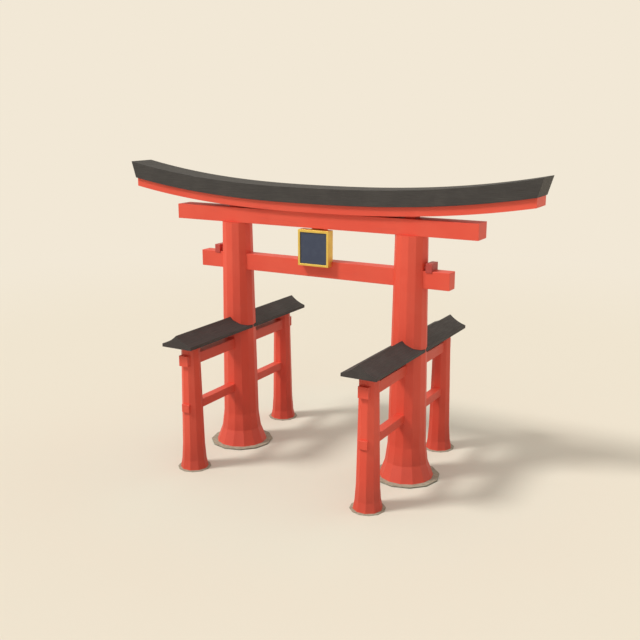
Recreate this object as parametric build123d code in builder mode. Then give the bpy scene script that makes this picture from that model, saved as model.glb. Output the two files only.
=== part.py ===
"""A red torii gate of the sleeve-pillar kind, as it stands in shallow water.

Two main pillars carry a straight lintel, a curved lintel and a dark top lintel. A tie beam runs
through both, and each main pillar is braced by two sleeve pillars under a small roof.
"""

import os

from build123d import *

os.makedirs("parts", exist_ok=True)

# Driving dimensions in millimetres. X runs along the lintels, the front looks along -Y and Z is
# up. The origin is in the middle of the gate, on the level that the foundation stones stand on.
pillar_x = 5450             # middle of the gate to the axis of a main pillar
sleeve_y = 4725             # main pillar axis to sleeve pillar axis
main_stone_top, sleeve_stone_top = 80, 30       # the pillars stand on foundation stones

# Pillars are hewn to flats: (height, radius over the corners), from the foot to the head.
main_sides = 14
main_profile = [(main_stone_top, 1495), (940, 1172), (1920, 1045), (13343, 864)]
sleeve_sides = 10
sleeve_profile = [(sleeve_stone_top, 775), (520, 680), (1400, 616), (7150, 502)]

# Straight lintel on the pillar heads, and the tie beam lower down.
lintel_length, lintel_depth, lintel_height = 18490, 1150, 842
lintel_bottom = main_profile[-1][0]
lintel_top = lintel_bottom + lintel_height
tie_length, tie_depth, tie_height = 15495, 745, 920
tie_bottom = 10635
tie_top = tie_bottom + tie_height

# Curved lintel and top lintel. Both rise towards their ends along one curve.
curve_power = 2.4
curve_stations = 5          # points on each half of a curve
curved_half, curved_depth, curved_thickness = 12080, 1508, 488
curved_rise = 935           # of the curve, at curved_half
curved_top = lintel_top + curved_thickness
top_half_low, top_half_high, top_depth, top_thickness = 12102, 12387, 1790, 847
top_rise = 1045             # of the upper edge, at top_half_high

# A square tenon on each main pillar goes up through the straight lintel into the curved one.
tenon_width = 600
tenon_height = lintel_height + 300

# Side ties run through a main pillar and its two sleeve pillars.
upper_tie_length, upper_tie_width, upper_tie_height, upper_tie_bottom = 10810, 575, 590, 6010
lower_tie_length, lower_tie_width, lower_tie_height, lower_tie_bottom = 10750, 490, 460, 3362

# Side roofs stand on the sleeve pillars and are cut to fit around the main pillar.
roof_length = 11880         # front gable to rear gable
roof_half_width = 955
roof_underside = sleeve_profile[-1][0]
eave_top = roof_underside + 175
ridge_height = 7870
slope_middle = (417, 7553)  # a point of the hollow slope, measured from the ridge line's foot

# Strut and plaque between the tie beam and the straight lintel.
strut_width, strut_depth = 740, 488
plaque_width, plaque_height, plaque_bottom = 1890, 1972, 11290
plaque_front = -770
border_side, border_top, border_bottom = 124, 142, 117
panel_recess, panel_thickness = 50, 200

# Wedges that lock the tie beam are driven in above it from the outer sides. Each head sits
# astride the beam.
wedge_head_start, wedge_head_end = 6435, 6775
wedge_head_height, wedge_head_lap, wedge_head_depth = 400, 85, 840
wedge_tail_thick, wedge_tail_thin, wedge_tail_depth = 260, 140, 420

# Foundation stones.
stone_sides = 12
main_stone_radius = 1850
sleeve_stone_radius = 930

bottom_up = (Align.CENTER, Align.CENTER, Align.MIN)
front_up = (Align.CENTER, Align.MIN, Align.MIN)


def finish(piece, name):
    """Label a finished piece and write it as its own STEP file."""
    piece.part.label = name
    export_step(piece.part, f"parts/{name}.step")


def squared_beam(x, bottom, length_x, length_y, height):
    """A squared timber centred on x and on Y = 0, from the height of its underside."""
    with BuildPart() as squared:
        with Locations((x, 0, bottom)):
            Box(length_x, length_y, height, align=bottom_up)
    return squared


def hewn_log(x, y, sides, profile):
    """A log with flats, of the given (height, radius) profile, standing at x, y."""
    with BuildPart() as log:
        for (low, low_radius), (high, high_radius) in zip(profile, profile[1:]):
            with BuildSketch(Plane((x, y, low))):
                RegularPolygon(low_radius, sides)
            with BuildSketch(Plane((x, y, high))):
                RegularPolygon(high_radius, sides)
            loft(ruled=True)
    return log


def lintel_curve(half, rise, height):
    """Points of a lintel's curve, from one end to the other."""
    points = []
    for station in range(-curve_stations, curve_stations + 1):
        share = station / curve_stations
        points.append((half * share, height + rise * abs(share) ** curve_power))
    return points


def curved_beam(lower_edge, upper_edge, depth):
    """A beam between two lintel curves."""
    with BuildPart() as curved:
        with BuildSketch(Plane.XZ):
            with BuildLine():
                lower = Spline(lower_edge)
                upper = Spline(upper_edge)
                Line(lower @ 0, upper @ 0)
                Line(lower @ 1, upper @ 1)
            make_face()
        extrude(amount=depth / 2, both=True)
    return curved


def tie_wedge(side):
    """A tie wedge: a narrow tail inside the pillar and a head outside it, astride the beam."""
    axis, start, end = side * pillar_x, side * wedge_head_start, side * wedge_head_end
    head_top, head_bottom = tie_top + wedge_head_height, tie_top - wedge_head_lap
    with BuildPart() as driven:
        with BuildSketch(Plane.XZ):
            Polygon((axis, tie_top), (end, tie_top), (end, tie_top + wedge_tail_thick),
                    (axis, tie_top + wedge_tail_thin), align=None)
        extrude(amount=wedge_tail_depth / 2, both=True)
        with BuildSketch(Plane.XZ):
            Polygon((start, head_bottom), (end, head_bottom), (end, head_top),
                    (start, head_top), align=None)
        extrude(amount=wedge_head_depth / 2, both=True)
        add(tie_beam.part, mode=Mode.SUBTRACT)
    return driven


def side_roof(x, end, log):
    """One half of a side roof, with hollow slopes, cut to fit around the main pillar."""
    half = roof_length / 2
    face_y = max(end, 0) * half         # the gable outline is extruded from here towards -Y
    with BuildPart() as roof:
        with BuildSketch(Plane((x, face_y, 0), x_dir=(1, 0, 0), z_dir=(0, -1, 0))):
            with BuildLine():
                slope = ThreePointArc((0, ridge_height), slope_middle, (roof_half_width, eave_top))
                Line(slope @ 1, (roof_half_width, roof_underside))
                Line((roof_half_width, roof_underside), (0, roof_underside))
                mirror(about=Plane.YZ)
            make_face()
        extrude(amount=half)
        add(log.part, mode=Mode.SUBTRACT)
    return roof


def foundation_stone(x, y, radius, thickness):
    """A low stone under one pillar."""
    with BuildPart() as stone:
        with BuildSketch(Plane((x, y, 0))):
            RegularPolygon(radius, stone_sides)
        extrude(amount=thickness)
    return stone


# Tie beam, and the strut that stands on it.
tie_beam = squared_beam(0, tie_bottom, tie_length, tie_depth, tie_height)
finish(tie_beam, "tie_beam")
strut = squared_beam(0, tie_top, strut_width, strut_depth, lintel_bottom - tie_top)
finish(strut, "plaque_strut")

# Straight and curved lintel, mortised for the tenons of the main pillars.
tenons = [
    squared_beam(side * pillar_x, lintel_bottom, tenon_width, tenon_width, tenon_height)
    for side in (-1, 1)
]
with BuildPart() as straight_lintel:
    with Locations((0, 0, lintel_bottom)):
        Box(lintel_length, lintel_depth, lintel_height, align=bottom_up)
    add([tenon.part for tenon in tenons], mode=Mode.SUBTRACT)
finish(straight_lintel, "straight_lintel")

curved_blank = curved_beam(
    lintel_curve(curved_half, curved_rise, lintel_top),
    lintel_curve(curved_half, curved_rise, curved_top),
    curved_depth,
)
with BuildPart() as curved_lintel:
    add(curved_blank.part)
    add([tenon.part for tenon in tenons], mode=Mode.SUBTRACT)
finish(curved_lintel, "curved_lintel")

# The top lintel lies on the curved one and is a little longer, with ends that lean outwards.
top_under_rise = curved_rise * (top_half_low / curved_half) ** curve_power
top_lintel = curved_beam(
    lintel_curve(top_half_low, top_under_rise, curved_top),
    lintel_curve(top_half_high, top_rise, curved_top + top_thickness),
    top_depth,
)
finish(top_lintel, "top_lintel")

# Plaque: a box frame that leans on the strut and laps over the tie beam, and a bare panel in it.
opening_width = plaque_width - 2 * border_side
opening_height = plaque_height - border_top - border_bottom
opening_bottom = plaque_bottom + border_bottom
frame_depth = -strut_depth / 2 - plaque_front
with BuildPart() as plaque_frame:
    with Locations((0, plaque_front, plaque_bottom)):
        Box(plaque_width, frame_depth, plaque_height, align=front_up)
    with Locations((0, plaque_front, opening_bottom)):
        Box(opening_width, frame_depth, opening_height, align=front_up, mode=Mode.SUBTRACT)
    add(tie_beam.part, mode=Mode.SUBTRACT)
finish(plaque_frame, "plaque_frame")

with BuildPart() as plaque_panel:
    with Locations((0, plaque_front + panel_recess, opening_bottom)):
        Box(opening_width, panel_thickness, opening_height, align=front_up)
finish(plaque_panel, "plaque_panel")

for side_name, side in (("left", -1), ("right", 1)):
    x = side * pillar_x
    upper_tie = squared_beam(
        x, upper_tie_bottom, upper_tie_width, upper_tie_length, upper_tie_height)
    lower_tie = squared_beam(
        x, lower_tie_bottom, lower_tie_width, lower_tie_length, lower_tie_height)
    finish(upper_tie, f"side_tie_upper_{side_name}")
    finish(lower_tie, f"side_tie_lower_{side_name}")
    wedge = tie_wedge(side)
    finish(wedge, f"tie_wedge_{side_name}")

    # The main pillar ends in its tenon and is mortised for every timber that runs through it.
    main_log = hewn_log(x, 0, main_sides, main_profile)
    with BuildPart() as main_pillar:
        add(main_log.part)
        with Locations((x, 0, lintel_bottom)):
            Box(tenon_width, tenon_width, tenon_height, align=bottom_up)
        add([tie_beam.part, upper_tie.part, lower_tie.part, wedge.part], mode=Mode.SUBTRACT)
    finish(main_pillar, f"main_pillar_{side_name}")
    stone = foundation_stone(x, 0, main_stone_radius, main_stone_top)
    finish(stone, f"main_stone_{side_name}")

    for end_name, end in (("front", -1), ("rear", 1)):
        place = f"{side_name}_{end_name}"
        sleeve_log = hewn_log(x, end * sleeve_y, sleeve_sides, sleeve_profile)
        with BuildPart() as sleeve_pillar:
            add(sleeve_log.part)
            add([upper_tie.part, lower_tie.part], mode=Mode.SUBTRACT)
        finish(sleeve_pillar, f"sleeve_pillar_{place}")
        finish(side_roof(x, end, main_log), f"side_roof_{place}")
        stone = foundation_stone(x, end * sleeve_y, sleeve_stone_radius, sleeve_stone_top)
        finish(stone, f"sleeve_stone_{place}")
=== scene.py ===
import math

import bmesh
import bpy
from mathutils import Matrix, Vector


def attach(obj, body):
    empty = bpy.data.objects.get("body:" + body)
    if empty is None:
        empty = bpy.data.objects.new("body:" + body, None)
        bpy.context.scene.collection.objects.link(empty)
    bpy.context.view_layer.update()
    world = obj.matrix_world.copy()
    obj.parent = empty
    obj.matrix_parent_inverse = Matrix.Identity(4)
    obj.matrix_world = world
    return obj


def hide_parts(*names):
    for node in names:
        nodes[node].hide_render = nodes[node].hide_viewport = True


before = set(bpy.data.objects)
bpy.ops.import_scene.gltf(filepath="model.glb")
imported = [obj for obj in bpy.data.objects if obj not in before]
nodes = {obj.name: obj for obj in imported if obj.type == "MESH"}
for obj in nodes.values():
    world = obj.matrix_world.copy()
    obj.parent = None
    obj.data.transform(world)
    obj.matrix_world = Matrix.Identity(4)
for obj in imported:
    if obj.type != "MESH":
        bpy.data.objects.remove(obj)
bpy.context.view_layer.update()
print("frame: loaded", len(nodes), "nodes")


def newMaterial(name):
    material = bpy.data.materials.new(name)
    material.use_nodes = True
    tree = material.node_tree
    tree.nodes.clear()
    output = tree.nodes.new("ShaderNodeOutputMaterial")
    shader = tree.nodes.new("ShaderNodeBsdfPrincipled")
    tree.links.new(shader.outputs["BSDF"], output.inputs["Surface"])
    return material, tree, shader


def plug(tree, value, socket):  # a number or colour is set, an output is linked
    if isinstance(value, bpy.types.NodeSocket):
        tree.links.new(value, socket)
    else:
        socket.default_value = value


def mathNode(tree, operation, first, second=0.0):
    node = tree.nodes.new("ShaderNodeMath")
    node.operation = operation
    plug(tree, first, node.inputs[0])
    plug(tree, second, node.inputs[1])
    return node.outputs[0]


def times(tree, first, second):
    return mathNode(tree, "MULTIPLY", first, second)


def spread(tree, value, fromRange, toRange=(0.0, 1.0)):  # smooth step from one range to another
    node = tree.nodes.new("ShaderNodeMapRange")
    node.interpolation_type = "SMOOTHSTEP"
    plug(tree, value, node.inputs["Value"])
    for name, limit in zip(("From Min", "From Max", "To Min", "To Max"), fromRange + toRange):
        node.inputs[name].default_value = limit
    return node.outputs["Result"]


def blendColours(tree, share, first, second, mode="MIX"):
    node = tree.nodes.new("ShaderNodeMix")
    node.data_type = "RGBA"
    node.blend_type = mode
    plug(tree, share, node.inputs["Factor"])
    plug(tree, first, node.inputs["A"])
    plug(tree, second, node.inputs["B"])
    return node.outputs["Result"]


def shaded(tree, tone, amount):
    grey = tree.nodes.new("ShaderNodeCombineColor")
    for channel in ("Red", "Green", "Blue"):
        tree.links.new(amount, grey.inputs[channel])
    return blendColours(tree, 1.0, tone, grey.outputs["Color"], "MULTIPLY")


def colour(red, green, blue):
    return (red, green, blue, 1.0)


def place(tree):  # position on the object, in metres
    return tree.nodes.new("ShaderNodeTexCoord").outputs["Object"]


def coordinate(tree, position, axis):
    split = tree.nodes.new("ShaderNodeSeparateXYZ")
    tree.links.new(position, split.inputs[0])
    return split.outputs[axis]


def noise(tree, position, scale, detail=3.0, roughness=0.5):
    node = tree.nodes.new("ShaderNodeTexNoise")
    tree.links.new(position, node.inputs["Vector"])
    node.inputs["Scale"].default_value = scale
    node.inputs["Detail"].default_value = detail
    node.inputs["Roughness"].default_value = roughness
    return node.outputs["Fac"]


def streaks(tree, position, axis, scales, detail, roughness=0.5):  # noise drawn out along one axis
    along, across = scales
    node = tree.nodes.new("ShaderNodeMapping")
    tree.links.new(position, node.inputs["Vector"])
    node.inputs["Scale"].default_value = tuple(along if name == axis else across for name in "XYZ")
    return noise(tree, node.outputs["Vector"], 1.0, detail, roughness)


def raised(tree, height, depth, below=None):  # bump, depth in metres
    node = tree.nodes.new("ShaderNodeBump")
    node.inputs["Distance"].default_value = depth
    plug(tree, height, node.inputs["Height"])
    if below is not None:
        tree.links.new(below, node.inputs["Normal"])
    return node.outputs["Normal"]


def facing(tree, axis):  # how squarely a surface faces along an axis, from -1 to 1
    flat = tree.nodes.new("ShaderNodeNewGeometry")
    return coordinate(tree, flat.outputs["Normal"], axis)


arrisFinder = {
    "samples": 4,
    "range": (0.80, 0.995),     # cosine of the angle from the flat, on an arris and on the flats
}


def nearArris(tree, width):  # 1 on an edge, 0 on the flats
    rounded = tree.nodes.new("ShaderNodeBevel")
    rounded.samples = arrisFinder["samples"]
    rounded.inputs["Radius"].default_value = width
    flat = tree.nodes.new("ShaderNodeNewGeometry")
    dot = tree.nodes.new("ShaderNodeVectorMath")
    dot.operation = "DOT_PRODUCT"
    tree.links.new(rounded.outputs["Normal"], dot.inputs[0])
    tree.links.new(flat.outputs["Normal"], dot.inputs[1])
    return spread(tree, dot.outputs["Value"], arrisFinder["range"], (1.0, 0.0))


# In the looks below a scale is the number of noise cells to a metre, and a pair of scales is along
# the timber and across it. A range is the stretch of a noise over which its pattern comes in.
# Depths, widths and heights are in metres.

vermilion = {
    "paint": colour(0.79, 0.073, 0.034),
    "faded": colour(0.81, 0.086, 0.042),
    "deep": colour(0.70, 0.058, 0.027),
    "worn": colour(0.78, 0.120, 0.068),
    "roughness": (0.47, 0.59),      # varies with the brush marks
    "shine": 0.66,
    "patchScale": 0.55,
    "patchRange": (0.35, 0.65),
    "grainScales": (0.6, 14.0),
    "grainRange": (0.52, 0.80),
    "grainShare": 0.40,
    "grainDepth": 0.0012,
    "brushScales": (2.5, 70.0),
    "brushRange": (0.3, 0.7),
    "brushDepth": 0.0003,
    "checkScales": (0.16, 5.0),
    "checkRange": (0.0, 0.006),     # from the middle of a check to its edge
    "checkedScale": 0.45,           # drying checks come in places only
    "checkedRange": (0.50, 0.62),
    "endGrain": (0.15, 0.32),       # and fade out on flared faces and cut ends
    "checkShare": 0.30,
    "checkDepth": 0.004,
    "wornWidth": 0.020,             # thin paint along an arris
    "wornRange": (0.40, 0.60),
    "wornShare": 0.45,
    "footShadeHeights": (0.6, 1.8),       # painted shade: the foot is dark up to the first, and normal from the second
    "footShadeLevel": 0.90,
    "topFacing": (0.80, 0.97),
    "topShade": 0.88,               # painted shade that dulls the upper faces
}


def dryingChecks(tree, position, axis, look):  # 1 in a check
    split = streaks(tree, position, axis, look["checkScales"], detail=3.0)
    offLine = mathNode(tree, "ABSOLUTE", mathNode(tree, "SUBTRACT", split, 0.5))
    hairline = spread(tree, offLine, look["checkRange"], (1.0, 0.0))
    somewhere = spread(tree, noise(tree, position, look["checkedScale"]), look["checkedRange"])
    endOn = mathNode(tree, "ABSOLUTE", facing(tree, axis))
    longGrain = spread(tree, endOn, look["endGrain"], (1.0, 0.0))
    return times(tree, times(tree, hairline, somewhere), longGrain)


def paintedTimber(name, axis, look=vermilion):
    material, tree, shader = newMaterial(name)
    position = place(tree)
    patches = noise(tree, position, look["patchScale"], detail=2.0)
    grain = streaks(tree, position, axis, look["grainScales"], detail=5.0, roughness=0.6)
    brushed = streaks(tree, position, axis, look["brushScales"], detail=2.0)
    faded = spread(tree, patches, look["patchRange"])
    tone = blendColours(tree, faded, look["paint"], look["faded"])
    dark = spread(tree, grain, look["grainRange"], (0.0, look["grainShare"]))
    tone = blendColours(tree, dark, tone, look["deep"])

    check = dryingChecks(tree, position, axis, look)
    tone = blendColours(tree, times(tree, check, look["checkShare"]), tone, look["deep"])

    arris = nearArris(tree, look["wornWidth"])
    rubbed = times(tree, arris, spread(tree, grain, look["wornRange"]))
    tone = blendColours(tree, times(tree, rubbed, look["wornShare"]), tone, look["worn"])

    # painted shade, darker towards the foot
    height = coordinate(tree, position, "Z")
    paintedFootShade = spread(tree, height, look["footShadeHeights"], (look["footShadeLevel"], 1.0))
    # painted shade on the upper faces
    paintedTopShade = spread(tree, facing(tree, "Z"), look["topFacing"], (1.0, look["topShade"]))
    tone = shaded(tree, tone, times(tree, paintedFootShade, paintedTopShade))
    tree.links.new(tone, shader.inputs["Base Color"])

    roughness = spread(tree, brushed, look["brushRange"], look["roughness"])
    tree.links.new(roughness, shader.inputs["Roughness"])
    shader.inputs["Specular IOR Level"].default_value = look["shine"]
    surface = raised(tree, grain, look["grainDepth"])
    surface = raised(tree, brushed, look["brushDepth"], surface)
    surface = raised(tree, mathNode(tree, "SUBTRACT", 1.0, check), look["checkDepth"], surface)
    tree.links.new(surface, shader.inputs["Normal"])
    return material


barkLook = {
    "fresh": colour(0.034, 0.030, 0.027),
    "worn": colour(0.043, 0.038, 0.034),
    "roughness": (0.66, 0.84),  # varies with the fibres
    "shine": 0.62,
    "patchScale": 0.9,
    "patchRange": (0.38, 0.66),
    "fibreScales": (1.2, 26.0),
    "fibreRange": (0.45, 0.75),
    "fibreShare": 0.35,
    "fibreDepth": 0.004,
    "roughnessRange": (0.3, 0.7),
    "topFacing": (0.80, 0.97),
    "topShade": 0.66,           # painted shade that darkens the upper side
    "endFacing": (0.80, 0.90),
    "endShade": 1.40,           # painted reflection that brightens the cut ends
    "layer": 0.09,              # height of one layer of bark on the cut edges
    "layerLip": (0.0, 0.14),    # share of a layer that its edge takes
    "layerDepth": 0.006,
    "wanderScale": 0.8,
    "wander": 0.6,              # how far the layers wander, in layers
}


def barkLayers(tree, position, look):  # rises from 0 to 1 at the edge of each layer
    height = mathNode(tree, "DIVIDE", coordinate(tree, position, "Z"), look["layer"])
    wander = times(tree, noise(tree, position, look["wanderScale"]), look["wander"])
    saw = mathNode(tree, "FRACT", mathNode(tree, "ADD", height, wander))
    return spread(tree, saw, look["layerLip"])


def darkBark(name, axis, look=barkLook):
    material, tree, shader = newMaterial(name)
    position = place(tree)
    fibres = streaks(tree, position, axis, look["fibreScales"], detail=6.0, roughness=0.65)
    patches = noise(tree, position, look["patchScale"], detail=4.0, roughness=0.6)
    worn = spread(tree, patches, look["patchRange"])
    tone = blendColours(tree, worn, look["fresh"], look["worn"])
    dark = spread(tree, fibres, look["fibreRange"], (0.0, look["fibreShare"]))
    tone = blendColours(tree, dark, tone, look["fresh"])
    # painted shade on the upper side
    paintedTopShade = spread(tree, facing(tree, "Z"), look["topFacing"], (1.0, look["topShade"]))
    # painted reflection, brighter on the faces that look along the bark
    endOn = mathNode(tree, "ABSOLUTE", facing(tree, axis))
    paintedEndLight = spread(tree, endOn, look["endFacing"], (1.0, look["endShade"]))
    tone = shaded(tree, tone, times(tree, paintedTopShade, paintedEndLight))
    tree.links.new(tone, shader.inputs["Base Color"])
    roughness = spread(tree, fibres, look["roughnessRange"], look["roughness"])
    tree.links.new(roughness, shader.inputs["Roughness"])
    shader.inputs["Specular IOR Level"].default_value = look["shine"]

    layers = barkLayers(tree, position, look)
    surface = raised(tree, fibres, look["fibreDepth"])
    surface = raised(tree, layers, look["layerDepth"], surface)
    tree.links.new(surface, shader.inputs["Normal"])
    return material


giltLook = {
    "plain": colour(0.84, 0.585, 0.12),
    "worn": colour(0.78, 0.525, 0.10),
    "roughness": (0.34, 0.48),
    "metal": 0.6,
    "strokeScales": (3.0, 60.0),
    "strokeRange": (0.3, 0.7),
    "strokeDepth": 0.0008,
    "patchScale": 2.5,
    "patchRange": (0.4, 0.7),
    "wornWidth": 0.012,
    "wornShare": 0.4,
}


def lacquer(name, axis, look=giltLook):
    material, tree, shader = newMaterial(name)
    position = place(tree)
    strokes = streaks(tree, position, axis, look["strokeScales"], detail=4.0, roughness=0.6)
    patches = noise(tree, position, look["patchScale"], detail=3.0)
    worn = spread(tree, patches, look["patchRange"])
    tone = blendColours(tree, worn, look["plain"], look["worn"])
    rubbed = times(tree, nearArris(tree, look["wornWidth"]), look["wornShare"])
    tone = blendColours(tree, rubbed, tone, look["worn"])
    tree.links.new(tone, shader.inputs["Base Color"])
    roughness = spread(tree, strokes, look["strokeRange"], look["roughness"])
    tree.links.new(roughness, shader.inputs["Roughness"])
    shader.inputs["Metallic"].default_value = look["metal"]
    tree.links.new(raised(tree, strokes, look["strokeDepth"]), shader.inputs["Normal"])
    return material


stoneLook = {
    "pale": colour(0.39, 0.355, 0.258),
    "dark": colour(0.29, 0.265, 0.190),
    "roughness": 0.85,
    "gritScale": 38.0,
    "gritRange": (0.5, 0.8),
    "gritShare": 0.5,
    "gritDepth": 0.004,
    "lumpScale": 4.5,
    "lumpRange": (0.35, 0.65),
    "lumpDepth": 0.012,
}


def roughStone(name, look=stoneLook):
    material, tree, shader = newMaterial(name)
    position = place(tree)
    grit = noise(tree, position, look["gritScale"], detail=6.0, roughness=0.7)
    lumps = noise(tree, position, look["lumpScale"], detail=5.0, roughness=0.6)
    hollows = spread(tree, lumps, look["lumpRange"])
    tone = blendColours(tree, hollows, look["pale"], look["dark"])
    dark = spread(tree, grit, look["gritRange"], (0.0, look["gritShare"]))
    tone = blendColours(tree, dark, tone, look["dark"])
    tree.links.new(tone, shader.inputs["Base Color"])
    shader.inputs["Roughness"].default_value = look["roughness"]
    surface = raised(tree, lumps, look["lumpDepth"])
    surface = raised(tree, grit, look["gritDepth"], surface)
    tree.links.new(surface, shader.inputs["Normal"])
    return material


litTieTopLook = dict(vermilion, topShade=1.2)   # painted light, brighter on top, for the tie tops in the shade of the side roofs
wedgeLook = dict(
    vermilion,
    paint=colour(0.46, 0.046, 0.034),
    faded=colour(0.51, 0.055, 0.041),
    deep=colour(0.38, 0.035, 0.025),
    worn=colour(0.50, 0.075, 0.060),
)
roofLook = dict(
    barkLook,
    fresh=colour(0.036, 0.028, 0.026),
    worn=colour(0.046, 0.038, 0.035),
    endShade=1.0,
)
navyLook = dict(
    giltLook,
    plain=colour(0.036, 0.049, 0.090),
    worn=colour(0.043, 0.058, 0.102),
    roughness=(0.40, 0.54),
    metal=0.0,
)

paintX = paintedTimber("vermilion along X", "X")
paintY = paintedTimber("vermilion along Y", "Y")
paintZ = paintedTimber("vermilion along Z", "Z")
# painted light on the tops of the upper side ties
litTieTopY = paintedTimber("vermilion under the side roofs", "Y", litTieTopLook)
wedgePaint = paintedTimber("wedge paint", "X", wedgeLook)
topBark = darkBark("top lintel bark", "X")
roofBark = darkBark("side roof bark", "Y", roofLook)
gilt = lacquer("gilt paint", "Z")
navy = lacquer("navy lacquer", "X", navyLook)
stoneGrey = roughStone("foundation stone")
print("finishes: made")


easing = {
    "weld": 1e-5,       # metres, nearer corners become one
    "flat": 0.3,        # degrees, facets that turn less than this become one face
    "segments": 2,
}
# Which edges are eased and which are shaded smooth, by how far the surface turns there, in degrees.
sawn = {"eased": (30.0, 180.0), "smoothBelow": 3.0}
hewn = {"eased": (15.0, 60.0), "smoothBelow": 3.0}      # only the edges between a log's flats
curved = {"eased": (30.0, 180.0), "smoothBelow": 20.0}


def easedCopy(node, arris, edges):
    mesh = nodes[node].data.copy()
    flat, smooth = math.radians(easing["flat"]), math.radians(edges["smoothBelow"])
    softest, sharpest = (math.radians(turn) for turn in edges["eased"])
    shape = bmesh.new()
    shape.from_mesh(mesh)
    bmesh.ops.remove_doubles(shape, verts=shape.verts, dist=easing["weld"])
    bmesh.ops.dissolve_limit(shape, angle_limit=flat, verts=shape.verts, edges=shape.edges)
    weights = shape.edges.layers.float.new("bevel_weight_edge")
    for edge in shape.edges:
        turn = edge.calc_face_angle(0.0)
        edge[weights] = 1.0 if softest <= turn <= sharpest else 0.0
        edge.smooth = turn < smooth
    for face in shape.faces:
        face.smooth = True
    shape.to_mesh(mesh)
    shape.free()
    piece = bpy.data.objects.new("dressed_" + node, mesh)
    bpy.context.scene.collection.objects.link(piece)
    bevel = piece.modifiers.new("eased arrises", "BEVEL")
    bevel.width = arris
    bevel.segments = easing["segments"]
    bevel.limit_method = "WEIGHT"
    bevel.harden_normals = True
    return piece


def dress(node, material, arris, edges=sawn):
    piece = easedCopy(node, arris, edges)
    piece.data.materials.clear()
    piece.data.materials.append(material)
    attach(piece, "root")
    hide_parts(node)


arrises = {     # metres that the edges of each kind of piece are eased
    "lintel": 0.020,
    "topLintel": 0.018,
    "mainPillar": 0.014,
    "sleevePillar": 0.012,
    "upperTie": 0.008,
    "lowerTie": 0.016,
    "wedge": 0.012,
    "strut": 0.012,
    "roof": 0.006,
    "mainStone": 0.020,
    "sleeveStone": 0.012,
    "plaqueFrame": 0.012,
    "plaquePanel": 0.006,
}
sides = ("left", "right")
ends = ("front", "rear")

for node in ("straight_lintel", "tie_beam"):
    dress(node, paintX, arrises["lintel"])
dress("curved_lintel", paintX, arrises["lintel"], curved)
dress("plaque_strut", paintZ, arrises["strut"])
dress("top_lintel", topBark, arrises["topLintel"], curved)
for side in sides:
    dress("main_pillar_" + side, paintZ, arrises["mainPillar"], hewn)
    dress("side_tie_upper_" + side, litTieTopY, arrises["upperTie"])
    dress("side_tie_lower_" + side, paintY, arrises["lowerTie"])
    dress("tie_wedge_" + side, wedgePaint, arrises["wedge"])
    dress("main_stone_" + side, stoneGrey, arrises["mainStone"])
    for end in ends:
        spot = side + "_" + end
        dress("sleeve_pillar_" + spot, paintZ, arrises["sleevePillar"], hewn)
        dress("side_roof_" + spot, roofBark, arrises["roof"], curved)
        dress("sleeve_stone_" + spot, stoneGrey, arrises["sleeveStone"])
dress("plaque_frame", gilt, arrises["plaqueFrame"])
dress("plaque_panel", navy, arrises["plaquePanel"])
print("pieces: dressed")


stage = {
    "floor": colour(0.72, 0.655, 0.535),
    "floorNear": colour(0.715, 0.675, 0.558),   # cooler, against the red light off the gate
    "floorUnlit": colour(0.12, 0.13, 0.14),     # what the near floor sends back up to the gate
    "nearRange": (9.0, 16.0),                   # metres over which near turns to far
    "floorRoughness": 0.9,
    "floorShine": 0.2,
    "floorRadius": 600.0,
    "floorSegments": 96,
    "backdrop": colour(0.888, 0.807, 0.672),
    "fadeRange": (32.0, 75.0),                  # metres over which the floor turns to backdrop
}


def seen(tree):  # 1 for camera, mirror and glass rays, 0 for the rays that light things
    path = tree.nodes.new("ShaderNodeLightPath")
    share = mathNode(tree, "MAXIMUM", path.outputs["Is Camera Ray"], path.outputs["Is Glossy Ray"])
    return mathNode(tree, "MAXIMUM", share, path.outputs["Is Transmission Ray"])


def paleFloor():
    material, tree, shader = newMaterial("pale floor")
    shader.inputs["Roughness"].default_value = stage["floorRoughness"]
    shader.inputs["Specular IOR Level"].default_value = stage["floorShine"]
    length = tree.nodes.new("ShaderNodeVectorMath")
    length.operation = "LENGTH"
    tree.links.new(place(tree), length.inputs[0])
    reach = length.outputs["Value"]
    away = spread(tree, reach, stage["nearRange"])
    unseen = blendColours(tree, away, stage["floorUnlit"], stage["floor"])
    shown = blendColours(tree, away, stage["floorNear"], stage["floor"])
    plug(tree, blendColours(tree, seen(tree), unseen, shown), shader.inputs["Base Color"])
    far = tree.nodes.new("ShaderNodeEmission")
    far.inputs["Color"].default_value = stage["backdrop"]
    fade = spread(tree, reach, stage["fadeRange"])
    mix = tree.nodes.new("ShaderNodeMixShader")
    plug(tree, times(tree, fade, seen(tree)), mix.inputs[0])
    tree.links.new(shader.outputs["BSDF"], mix.inputs[1])
    tree.links.new(far.outputs[0], mix.inputs[2])
    output = next(node for node in tree.nodes if node.type == "OUTPUT_MATERIAL")
    tree.links.new(mix.outputs[0], output.inputs["Surface"])
    return material


def makeFloor():
    mesh = bpy.data.meshes.new("floor")
    shape = bmesh.new()
    segments, radius = stage["floorSegments"], stage["floorRadius"]
    bmesh.ops.create_circle(shape, cap_ends=True, segments=segments, radius=radius)
    shape.to_mesh(mesh)
    shape.free()
    floor = bpy.data.objects.new("floor", mesh)
    bpy.context.scene.collection.objects.link(floor)
    mesh.materials.append(paleFloor())


sky = {
    "tint": colour(1.0, 0.98, 0.95),
    "zenith": 0.95,
    "horizon": 0.0,
}


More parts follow.
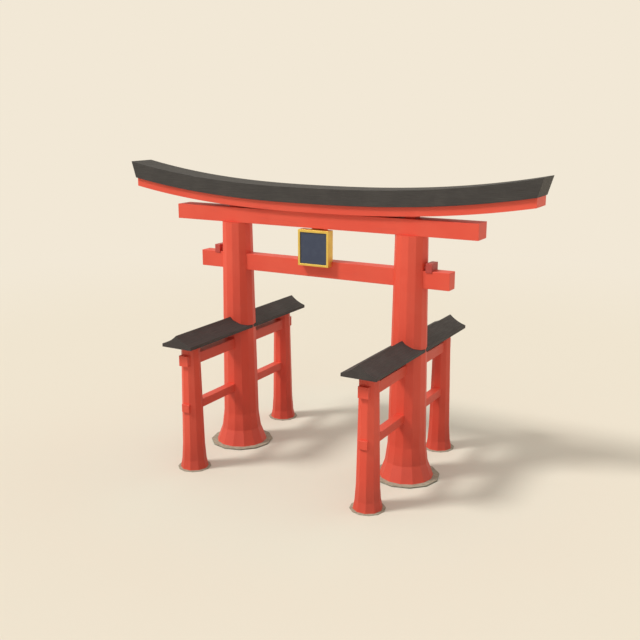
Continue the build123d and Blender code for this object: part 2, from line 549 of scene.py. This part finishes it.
def makeWorld():
    world = bpy.data.worlds.new("studio")
    bpy.context.scene.world = world
    world.use_nodes = True
    tree = world.node_tree
    tree.nodes.clear()
    output = tree.nodes.new("ShaderNodeOutputWorld")
    lit = tree.nodes.new("ShaderNodeBackground")
    lit.inputs["Color"].default_value = sky["tint"]
    direction = tree.nodes.new("ShaderNodeTexCoord").outputs["Generated"]
    upness = mathNode(tree, "MAXIMUM", coordinate(tree, direction, "Z"), 0.0)
    level = times(tree, upness, sky["zenith"] - sky["horizon"])
    plug(tree, mathNode(tree, "ADD", level, sky["horizon"]), lit.inputs["Strength"])
    shown = tree.nodes.new("ShaderNodeBackground")
    shown.inputs["Color"].default_value = stage["backdrop"]
    mix = tree.nodes.new("ShaderNodeMixShader")
    plug(tree, seen(tree), mix.inputs[0])
    tree.links.new(lit.outputs[0], mix.inputs[1])
    tree.links.new(shown.outputs[0], mix.inputs[2])
    tree.links.new(mix.outputs[0], output.inputs["Surface"])


lamps = {       # towards the lamp from the gate, and softness in degrees
    "key": {"towards": (-0.67, -0.627, 1.0), "strength": 2.14, "softness": 13.0},
    "front": {"towards": (0.30, -1.0, 0.30), "strength": 0.29, "softness": 60.0},
    "back": {"towards": (0.45, 0.64, 0.45), "strength": 0.27, "softness": 60.0},
}


def makeLamp(name, towards, strength, softness):
    light = bpy.data.lights.new(name, "SUN")
    light.energy = strength
    light.angle = math.radians(softness)
    lamp = bpy.data.objects.new(name, light)
    bpy.context.scene.collection.objects.link(lamp)
    lamp.rotation_mode = "QUATERNION"
    lamp.rotation_quaternion = Vector(towards).to_track_quat("Z", "Y")


makeFloor()
makeWorld()
for name, values in lamps.items():
    makeLamp(name, **values)
print("stage: floor, backdrop and lamps made")


camera = {
    "distance": 49.18,
    "azimuth": 29.5,        # degrees to the right of straight ahead
    "elevation": 13.76,     # degrees above level
    "aim": (0.008, 0.0, 8.130),
    "fieldOfView": 40.0,
    "sensorWidth": 36.0,    # millimetres
    "reach": 2000.0,        # metres, well past the edge of the floor
}


def makeCamera():
    data = bpy.data.cameras.new("camera")
    data.sensor_width = camera["sensorWidth"]
    data.lens = data.sensor_width / 2 / math.tan(math.radians(camera["fieldOfView"] / 2))
    data.clip_end = camera["reach"]
    holder = bpy.data.objects.new("camera", data)
    bpy.context.scene.collection.objects.link(holder)
    turn, tilt = math.radians(camera["azimuth"]), math.radians(camera["elevation"])
    back = Vector((
        math.sin(turn) * math.cos(tilt),
        -math.cos(turn) * math.cos(tilt),
        math.sin(tilt),
    ))
    holder.location = Vector(camera["aim"]) + back * camera["distance"]
    holder.rotation_mode = "QUATERNION"
    holder.rotation_quaternion = (-back).to_track_quat("-Z", "Y")
    bpy.context.scene.camera = holder


makeCamera()
bpy.context.scene.view_settings.view_transform = "Standard"
print("camera: set")
